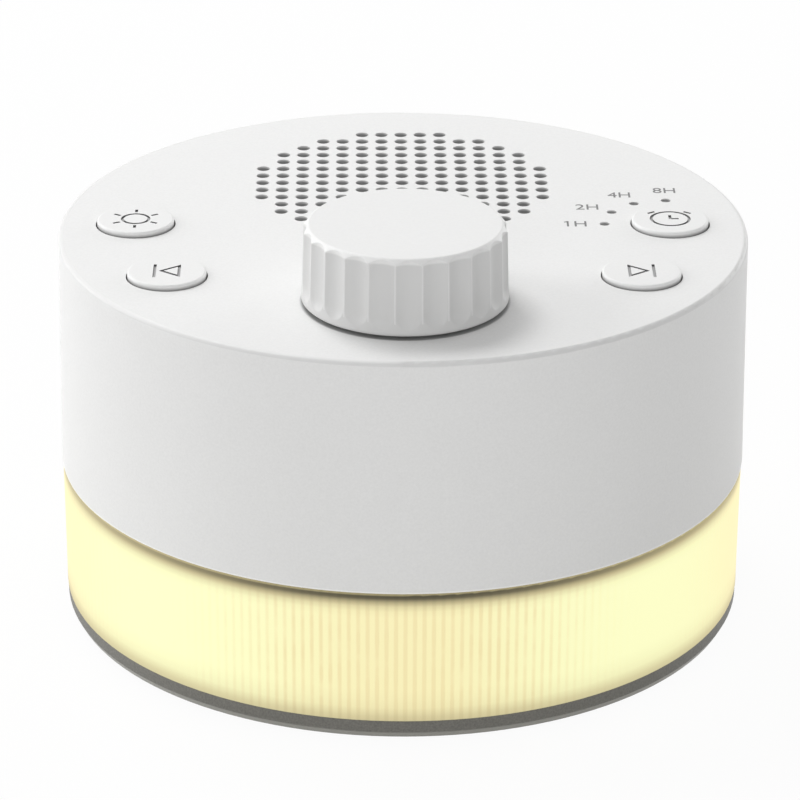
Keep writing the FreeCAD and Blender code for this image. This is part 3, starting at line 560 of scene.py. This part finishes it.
def extrudeRing(shape, edges, radiusAt, z):
    # Draws a ring of edges on to height z, with the radius that radiusAt gives at each turn
    made = bmesh.ops.extrude_edge_only(shape, edges=edges)["geom"]
    verts = {item for item in made if isinstance(item, bmesh.types.BMVert)}
    for vert in verts:
        turn = math.atan2(vert.co.y, vert.co.x)
        radius = radiusAt(turn, z)
        vert.co = (radius * math.cos(turn), radius * math.sin(turn), z)
    return [item for item in made if isinstance(item, bmesh.types.BMEdge) and set(item.verts) <= verts]


def startRing(shape, radius, z, segments):
    made = bmesh.ops.create_circle(shape, cap_ends=True, segments=segments, radius=radius,
                                   matrix=Matrix.Translation((0, 0, z)))
    return list({edge for vert in made["verts"] for edge in vert.link_edges})


def latheUp(shape, outline, segments):
    # A closed turned solid, with a flat face across its first ring and its last
    edges = startRing(shape, *outline[0], segments)
    for radius, z in outline[1:]:
        edges = extrudeRing(shape, edges, sameRadius(radius), z)
    bmesh.ops.contextual_create(shape, geom=edges)


def addBar(shape, start, end, width, low, high):
    run = Vector(end) - Vector(start)
    middle = (Vector(start) + Vector(end)) / 2
    place = Matrix.Translation((middle.x, middle.y, (low + high) / 2))
    turn = Matrix.Rotation(math.atan2(run.y, run.x), 4, "Z")
    bmesh.ops.create_cube(shape, size=1,
                          matrix=place @ turn @ Matrix.Diagonal((run.length, width, high - low, 1)))


def addHoop(shape, inner, outer, low, high, segments):
    # A square-cut ring, spun from the outline of its section
    place = Matrix.Translation(((inner + outer) / 2, 0, (low + high) / 2))
    upright = Matrix.Rotation(math.pi / 2, 4, "X")
    size = Matrix.Diagonal((outer - inner, high - low, 1, 1))
    section = bmesh.ops.create_grid(shape, x_segments=1, y_segments=1, size=0.5,
                                    matrix=place @ upright @ size)
    face = section["verts"][0].link_faces[0]
    edges = list(face.edges)
    bmesh.ops.delete(shape, geom=[face], context="FACES_ONLY")
    bmesh.ops.spin(shape, geom=section["verts"] + edges, cent=(0, 0, 0), axis=(0, 0, 1),
                   angle=2 * math.pi, steps=segments, use_merge=True)


def addTriangle(shape, corners, width, low, high):
    made = bmesh.ops.create_circle(shape, cap_ends=True, segments=3, radius=1)["verts"]
    for vert, (x, y) in zip(made, corners):
        vert.co = (x, y, low)
    face = made[0].link_faces[0]
    face.normal_update()
    bmesh.ops.inset_individual(shape, faces=[face], thickness=width, use_even_offset=True)
    bmesh.ops.delete(shape, geom=[face], context="FACES_ONLY")
    rim = list({linked for vert in made for linked in vert.link_faces})
    raised = bmesh.ops.extrude_face_region(shape, geom=rim)["geom"]
    top = [item for item in raised if isinstance(item, bmesh.types.BMVert)]
    bmesh.ops.translate(shape, vec=(0, 0, high - low), verts=top)


def toObject(name, shape, place=(0, 0, 0), weld=0.0005):
    # Everything is drawn in millimetres and put in its place in the mesh
    bmesh.ops.remove_doubles(shape, verts=shape.verts, dist=weld)
    bmesh.ops.recalc_face_normals(shape, faces=shape.faces)
    bmesh.ops.translate(shape, vec=place, verts=shape.verts)
    bmesh.ops.scale(shape, vec=(mm, mm, mm), verts=shape.verts)
    mesh = bpy.data.meshes.new(name)
    shape.to_mesh(mesh)
    shape.free()
    thing = bpy.data.objects.new(name, mesh)
    bpy.context.scene.collection.objects.link(thing)
    return thing


def evaluated(thing):
    return bpy.data.meshes.new_from_object(thing.evaluated_get(bpy.context.evaluated_depsgraph_get()))


def carve(thing, cutter):
    cut = thing.modifiers.new("carve", "BOOLEAN")
    cut.object = cutter
    cut.solver = "EXACT"
    cut.use_self = True
    carved = evaluated(thing)
    thing.modifiers.clear()
    thing.data = carved
    bpy.data.objects.remove(cutter)


def finishPiece(thing, body, slotName, sharpAngle, *replaced):
    thing.data.materials.clear()
    thing.data.materials.append(finishes[slotName])
    thing.data.shade_smooth()
    thing.data.set_sharp_from_angle(angle=math.radians(sharpAngle))
    weighted = thing.modifiers.new("weighted", "WEIGHTED_NORMAL")
    weighted.keep_sharp = True
    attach(thing, body)
    if replaced:
        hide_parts(*replaced)
    print("made", thing.name, "with", len(thing.data.polygons), "faces")


# Volume knob: scalloped skirt with a soft chamfer, hub and webs inside

knob = {
    "centre": (0, -29.0, 0),
    "bottom": 61.0,
    "height": 11.6,
    "bottomRadius": 15.2,
    "topRadius": 14.9,
    "bottomEdge": 0.25,
    "chamfer": 0.8,
    "chamferSoftness": 0.06,
    "fluteCount": 24,
    "fluteRadius": 4.2,
    "fluteDepth": 0.54,
    "fluteRunOut": 3.1,
    "fluteSoftness": 0.04,
    "fluteTurn": 1.4,
    "sliceCount": 768,
    "wall": 2.1,
    "topWall": 2.0,
    "hubRadius": 4.6,
    "boreRadius": 3.02,
    "boreTop": 70.2,
    "hubBottom": 63.6,
    "webCount": 6,
    "webHeight": 4.5,
    "webThickness": 1.2,
    "webStart": 4.14,
    "webOverlap": 0.5,
    "webSink": 0.2,
    # Heights over the bottom at which the skirt has a ring of points: single ones, and then two rows,
    # each as start, step and count
    "plainRises": (0, 0.1, 0.25, 4.5, 6.5, 8.5),
    "runOutRises": (0.6, 0.12, 22),
    "shoulderRises": (10.3, 0.06, 21),
    # Loss of radius, and distance under the top, of the last two rings
    "topRounding": ((0.04, 0.04), (0.12, 0)),
}


def softMin(first, second, softness):
    # The smaller of two numbers, blended where they are closer than the softness
    overlap = max(softness - abs(first - second), 0) / softness
    return min(first, second) - overlap * overlap * softness / 4


def knobRadius(spec, turn, z):
    # Wall, chamfer and scallop meet with a small soft edge
    rise = z - spec["bottom"]
    share = rise / (spec["height"] - spec["chamfer"])
    wall = spec["bottomRadius"] + (spec["topRadius"] - spec["bottomRadius"]) * share
    chamfer = spec["topRadius"] - spec["chamfer"] + spec["height"] - rise
    skin = softMin(wall, chamfer, spec["chamferSoftness"])
    skin -= max(spec["bottomEdge"] - rise, 0)
    pitch = 2 * math.pi / spec["fluteCount"]
    start = math.radians(spec["fluteTurn"] - 90)
    aside = (turn - start + pitch / 2) % pitch - pitch / 2
    reach = wall + spec["fluteRadius"] - spec["fluteDepth"]
    drop = max(spec["fluteRunOut"] - rise, 0)
    chord = spec["fluteRadius"] ** 2 - drop ** 2 - (reach * math.sin(aside)) ** 2
    if chord <= 0:
        return skin
    return softMin(skin, reach * math.cos(aside) - math.sqrt(chord), spec["fluteSoftness"])


def makeKnob(spec):
    shape = bmesh.new()
    top = spec["bottom"] + spec["height"]
    ceiling = top - spec["topWall"]
    cavity = spec["bottomRadius"] - spec["wall"]
    outline = [(spec["boreRadius"], spec["boreTop"]), (spec["boreRadius"], spec["hubBottom"]),
               (spec["hubRadius"], spec["hubBottom"]), (spec["hubRadius"], ceiling),
               (cavity, ceiling), (cavity, spec["bottom"])]
    edges = startRing(shape, *outline[0], spec["sliceCount"])
    for radius, z in outline[1:]:
        edges = extrudeRing(shape, edges, sameRadius(radius), z)
    rises = list(spec["plainRises"])
    for start, step, count in (spec["runOutRises"], spec["shoulderRises"]):
        rises += [start + step * number for number in range(count)]
    for rise in sorted(rises):
        edges = extrudeRing(shape, edges, lambda turn, z: knobRadius(spec, turn, z), spec["bottom"] + rise)
    for radiusLoss, drop in spec["topRounding"]:
        flat = spec["topRadius"] - spec["chamfer"] - radiusLoss
        edges = extrudeRing(shape, edges, sameRadius(flat), top - drop)
    bmesh.ops.contextual_create(shape, geom=edges)
    for step in range(spec["webCount"]):
        along = Matrix.Rotation(2 * math.pi * step / spec["webCount"], 3, "Z") @ Vector((1, 0, 0))
        addBar(shape, (along * spec["webStart"]).xy, (along * (cavity + spec["webOverlap"])).xy,
               spec["webThickness"], ceiling - spec["webHeight"], ceiling + spec["webSink"])
    return toObject("volume_knob_dial", shape, spec["centre"])


knobShade = {
    "sideTop": 71.6,
    "sideFade": 71.9,
    "paintedSideShade": (0.66, 0.66, 0.655),
    "ridgeShine": 0.6,
    "ridgeShare": 0.03,
    "ridgeFoot": 62.9,
}


def shadeKnob(spec):
    # The skirt is painted in shade, darker than the top face, and its ridges get a painted highlight
    material = finishes["knob_plastic"]
    tree = material.node_tree
    x, y, z = placeSplit(tree)
    # Painted shade on the skirt below the chamfer
    side = lowMask(tree, spec["sideTop"], spec["sideFade"])
    turn = math2(tree, "ARCTAN2", math2(tree, "SUBTRACT", y, knob["centre"][1] * mm), x)
    start = math.radians(knob["fluteTurn"] - 90)
    perTurn = knob["fluteCount"] / (2 * math.pi)
    count = math2(tree, "MULTIPLY", math2(tree, "SUBTRACT", turn, start), perTurn)
    aside = math2(tree, "ABSOLUTE", math2(tree, "SUBTRACT", math2(tree, "FRACT", count), 0.5))
    # Painted highlight along the ridges between the flutes
    ridge = math2(tree, "MULTIPLY", math2(tree, "LESS_THAN", aside, spec["ridgeShare"]),
                  math2(tree, "GREATER_THAN", z, spec["ridgeFoot"] * mm))
    ridgeHighlight = math2(tree, "MULTIPLY", side, math2(tree, "MULTIPLY", ridge, spec["ridgeShine"]))
    shadeBand(material, spec["paintedSideShade"], math2(tree, "SUBTRACT", side, ridgeHighlight))


shadeKnob(knobShade)
finishPiece(makeKnob(knob), "knob", "knob_plastic", 50, "volume_knob")


# Push buttons: flat caps with rounded edges and carved signs

button = {
    "top": 61.35,
    "radius": 5.88,
    "edgeRound": 0.36,
    "roundSteps": 6,
    "flangeRadius": 7.2,
    "flangeTop": 58.3,
    "flangeBottom": 57.0,
    "stemRadius": 2.35,
    "stemBottom": 56.6,
    "notchRadius": 1.0,
    "notchOffset": 7.0,
    "sliceCount": 160,
    "signDepth": 0.3,
    "signSlices": 72,
    "line": 0.44,
    "cutterRise": 0.5,
    "notchSlices": 32,
    "notchDepth": 3,
    "places": {
        "light": (-40.86, 1.71),
        "previous": (-35.21, -19.60),
        "next": (35.21, -19.60),
        "timer": (40.86, 1.71),
    },
}
sunSign = {"ringRadius": 2.02, "rayStart": 2.7, "rayEnd": 3.85, "rayAngles": (30, 90, 150, 210, 270, 330)}
skipSign = {"barX": -1.8, "barReach": 2.5, "corners": ((-1.2, 0), (2.05, -2.45), (2.05, 2.45))}
clockSign = {
    "ringRadius": 2.9,
    "minuteHand": 1.45,
    "hourHand": 1.3,
    "handOverlap": 0.02,
    "earInner": (2.25, 2.95),
    "earOuter": (3.3, 2.2),
}


def drawSun(cutter, low, high, line):
    ring = sunSign["ringRadius"]
    addHoop(cutter, ring - line / 2, ring + line / 2, low, high, button["signSlices"])
    for angle in sunSign["rayAngles"]:
        along = Vector((math.cos(math.radians(angle)), math.sin(math.radians(angle))))
        addBar(cutter, along * sunSign["rayStart"], along * sunSign["rayEnd"], line, low, high)


def drawSkip(cutter, low, high, line, side):
    barX = skipSign["barX"] * side
    addBar(cutter, (barX, -skipSign["barReach"]), (barX, skipSign["barReach"]), line, low, high)
    addTriangle(cutter, [(x * side, y) for x, y in skipSign["corners"]], line, low, high)


def drawClock(cutter, low, high, line):
    ring = clockSign["ringRadius"]
    addHoop(cutter, ring - line / 2, ring + line / 2, low, high, button["signSlices"])
    addBar(cutter, (0, -line / 2), (0, clockSign["minuteHand"]), line, low, high)
    addBar(cutter, (line / 2 - clockSign["handOverlap"], 0), (clockSign["hourHand"], 0), line, low, high)
    for side in (-1, 1):
        inner = (clockSign["earInner"][0] * side, clockSign["earInner"][1])
        outer = (clockSign["earOuter"][0] * side, clockSign["earOuter"][1])
        addBar(cutter, inner, outer, line, low, high)


def makeButton(name, spec):
    shape = bmesh.new()
    curve = [math.pi / 2 * step / spec["roundSteps"] for step in range(spec["roundSteps"] + 1)]
    straight = spec["radius"] - spec["edgeRound"]
    outline = [(spec["stemRadius"], spec["stemBottom"]), (spec["stemRadius"], spec["flangeBottom"]),
               (spec["flangeRadius"], spec["flangeBottom"]), (spec["flangeRadius"], spec["flangeTop"]),
               (spec["radius"], spec["flangeTop"])]
    outline += [(straight + spec["edgeRound"] * math.cos(angle),
                 spec["top"] - spec["edgeRound"] * (1 - math.sin(angle))) for angle in curve]
    latheUp(shape, outline, spec["sliceCount"])
    place = (*spec["places"][name], 0)
    thing = toObject(name + "_cap", shape, place)
    cutter = bmesh.new()
    for side in (-1, 1):
        notch = Matrix.Translation((0, side * spec["notchOffset"], spec["flangeBottom"]))
        bmesh.ops.create_cone(cutter, cap_ends=True, segments=spec["notchSlices"], depth=spec["notchDepth"],
                              radius1=spec["notchRadius"], radius2=spec["notchRadius"], matrix=notch)
    low = spec["top"] - spec["signDepth"]
    high = spec["top"] + spec["cutterRise"]
    if name == "light":
        drawSun(cutter, low, high, spec["line"])
    elif name == "timer":
        drawClock(cutter, low, high, spec["line"])
    else:
        drawSkip(cutter, low, high, spec["line"], 1 if name == "previous" else -1)
    carve(thing, toObject("signCutter", cutter, place))
    return thing


buttonShade = {
    "gapColour": (0.28, 0.28, 0.28),
    "gapBottom": 60.45,
    "gapTop": 61.05,
    "signReach": 4.9,
    "paintedSignWallShade": (0.14, 0.14, 0.14),
    "paintedSignFloorShade": (0.5, 0.5, 0.5),
    "signTop": 61.3,
    "wallSlope": 0.3,
}


def shadeButtons(spec):
    # Painted shade darkens the foot of the caps by the gap, and the walls and floor of the carved signs.
    # The signs are found from the middles of the two buttons at the right, and mirrored to the left
    material = finishes["button_plastic"]
    tree = material.node_tree
    x, y, z = placeSplit(tree)
    # Painted shade at the foot of the cap, where the gap round it lies in shade
    shadeBand(material, spec["gapColour"], lowMask(tree, spec["gapBottom"], spec["gapTop"]))
    mirrored = tree.nodes.new("ShaderNodeCombineXYZ")
    tree.links.new(math2(tree, "ABSOLUTE", x), mirrored.inputs["X"])
    tree.links.new(y, mirrored.inputs["Y"])
    gaps = []
    for name in ("next", "timer"):
        away = tree.nodes.new("ShaderNodeVectorMath")
        away.operation = "DISTANCE"
        away.inputs[1].default_value = (*(part * mm for part in button["places"][name]), 0)
        tree.links.new(mirrored.outputs[0], away.inputs[0])
        gaps.append(away.outputs["Value"])
    near = math2(tree, "LESS_THAN", math2(tree, "MINIMUM", *gaps), spec["signReach"] * mm)
    sunk = math2(tree, "MULTIPLY", near, math2(tree, "LESS_THAN", z, spec["signTop"] * mm))
    facing = tree.nodes.new("ShaderNodeSeparateXYZ")
    tree.links.new(tree.nodes.new("ShaderNodeTexCoord").outputs["Normal"], facing.inputs[0])
    # Painted shade on the floor of the carved signs
    shadeBand(material, spec["paintedSignFloorShade"], sunk)
    # Painted shade on the steep walls of the carved signs
    steep = math2(tree, "LESS_THAN", math2(tree, "ABSOLUTE", facing.outputs["Z"]), spec["wallSlope"])
    shadeBand(material, spec["paintedSignWallShade"], math2(tree, "MULTIPLY", near, steep))


shadeButtons(buttonShade)
for buttonName in button["places"]:
    buttonCap = makeButton(buttonName, button)
    finishPiece(buttonCap, buttonName + "_key", "button_plastic", 40, buttonName + "_button")


# Timer labels, printed beside the light pins

timerLabels = {
    "words": {"8H": 90, "4H": 120, "2H": 150, "1H": 180},
    "circle": 14.3,
    "width": 3.5,
    "narrowWidth": 3.01,
    "height": 2.15,
    "stroke": 0.24,
    "flag": (0.5, 0.3),
    "deck": 60.5,
    "sink": 0.005,
    "thickness": 0.03,
    "weld": 0.001,
}


def makeLabels(spec):
    # The words stand on a circle round the timer button; the 1 gets a flag of its own
    shape = bmesh.new()
    flags = []
    timerX, timerY = button["places"]["timer"]
    for word, angle in spec["words"].items():
        data = bpy.data.curves.new("label", "FONT")
        data.body = word
        data.align_x = "CENTER"
        data.align_y = "CENTER"
        writing = bpy.data.objects.new("label", data)
        bpy.context.scene.collection.objects.link(writing)
        mesh = evaluated(writing)
        letters = bmesh.new()
        letters.from_mesh(mesh)
        bpy.data.objects.remove(writing)
        across = [vert.co.x for vert in letters.verts]
        tall = [vert.co.y for vert in letters.verts]
        middle = ((min(across) + max(across)) / 2, (min(tall) + max(tall)) / 2)
        width = spec["narrowWidth"] if word == "1H" else spec["width"]
        factors = (width / (max(across) - min(across)), spec["height"] / (max(tall) - min(tall)), 1)
        bmesh.ops.translate(letters, vec=(-middle[0], -middle[1], 0), verts=letters.verts)
        bmesh.ops.scale(letters, vec=factors, verts=letters.verts)
        turn = math.radians(angle)
        centre = (timerX + spec["circle"] * math.cos(turn), timerY + spec["circle"] * math.sin(turn), 0)
        bmesh.ops.translate(letters, vec=centre, verts=letters.verts)
        if word == "1H":
            left = centre[0] - (width - spec["stroke"]) / 2
            tip = (left, centre[1] + (spec["height"] - spec["stroke"]) / 2)
            flags.append(((tip[0] - spec["flag"][0], tip[1] - spec["flag"][1]), tip))
        letters.to_mesh(mesh)
        letters.free()
        shape.from_mesh(mesh)
        bpy.data.meshes.remove(mesh)
    bmesh.ops.remove_doubles(shape, verts=shape.verts, dist=spec["weld"])
    printed = bmesh.ops.extrude_face_region(shape, geom=shape.faces[:])["geom"]
    raised = [item for item in printed if isinstance(item, bmesh.types.BMVert)]
    bmesh.ops.translate(shape, vec=(0, 0, spec["thickness"]), verts=raised)
    for start, tip in flags:
        addBar(shape, start, tip, spec["stroke"], 0, spec["thickness"])
    return toObject("timer_labels", shape, (0, 0, spec["deck"] - spec["sink"]))


finishPiece(makeLabels(timerLabels), "housing", "clear_plastic", 30)
